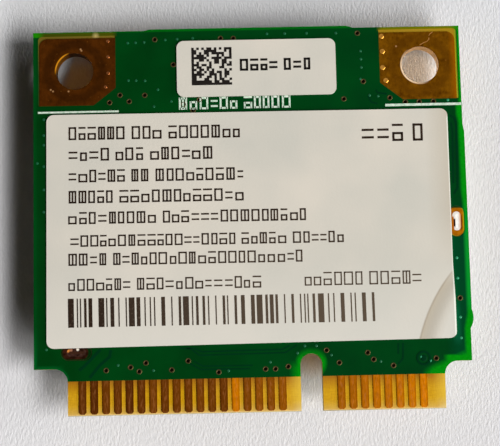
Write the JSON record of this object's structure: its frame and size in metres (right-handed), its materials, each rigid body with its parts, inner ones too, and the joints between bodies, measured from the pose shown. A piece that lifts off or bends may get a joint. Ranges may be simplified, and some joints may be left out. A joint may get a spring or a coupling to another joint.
{
  "type": "laptop wireless card",
  "caption": "Half-height mini card with two screw holes, a keyed gold edge connector, labels on one side, and a shield can and antenna sockets on the other.",
  "frame": {"origin": "below the middle of the card, on the outer face of the shield cover, which the card lies on", "axes": "+X along the long edge, to the right as seen from the label side with the screw holes at the top; +Y from the edge fingers to the screw holes; +Z out of the label side"},
  "size_m": [0.0301, 0.0268, 0.0027],
  "materials": {
    "laminate": "glass-fibre laminate, yellow, satin",
    "solder_mask": "green solder mask, glossy",
    "finger_gold": "thin gold over copper, reddish",
    "tarnished_copper": "bare copper, brown with age",
    "golden_copper": "gold-washed copper, brownish",
    "plated_copper": "plated slot wall and ring",
    "white_ink": "white board print",
    "label_paper": "matt cream label",
    "tin_plate": "tin-plated sheet",
    "solder": "bright solder",
    "chip_moulding": "black moulding",
    "tinned_lead": "tinned terminal",
    "ceramic": "fired ceramic",
    "plated_lid": "plated metal lid",
    "ferrite": "pressed ferrite",
    "capacitor_ceramic": "brown ceramic",
    "resistor_glaze": "black glaze",
    "socket_moulding": "ivory insulator",
    "socket_gold": "gold-plated contact"
  },
  "bodies": {
    "root": {"board_laminate": "laminate", "label_side_mask": "solder_mask", "component_side_mask": "solder_mask", "label_side_fingers": "finger_gold", "component_side_fingers": "finger_gold", "left_screw_land": "tarnished_copper", "right_screw_land": "golden_copper", "leg_slot_barrels": "plated_copper", "shield_ground_land": "golden_copper", "printed_lines": "white_ink", "large_label": "label_paper", "small_label": "label_paper", "shield_frame": "tin_plate", "shield_cover": "tin_plate", "leg_solder": "solder", "radio_chip_body": "chip_moulding", "radio_chip_leads": "tinned_lead", "crystal_base": "ceramic", "crystal_lid": "plated_lid", "memory_chip_body": "chip_moulding", "memory_chip_leads": "tinned_lead", "regulator_body": "chip_moulding", "regulator_leads": "tinned_lead", "power_inductor_bodies": "ferrite", "power_inductor_terminals": "tinned_lead", "bulk_capacitor_bodies": "capacitor_ceramic", "bulk_capacitor_terminals": "tinned_lead", "small_capacitor_bodies": "capacitor_ceramic", "small_capacitor_terminals": "tinned_lead", "resistor_bodies": "resistor_glaze", "resistor_terminals": "tinned_lead", "balun_bodies": "ceramic", "balun_terminals": "tinned_lead", "radio_amplifier_bodies": "chip_moulding", "radio_amplifier_terminals": "tinned_lead", "antenna_switch_bodies": "chip_moulding", "antenna_switch_terminals": "tinned_lead", "socket_lands": "golden_copper", "left_socket_base": "socket_moulding", "right_socket_base": "socket_moulding", "left_socket_contact": "socket_gold", "right_socket_contact": "socket_gold", "left_socket_pin": "socket_gold", "right_socket_pin": "socket_gold"}
  },
  "joints": []
}
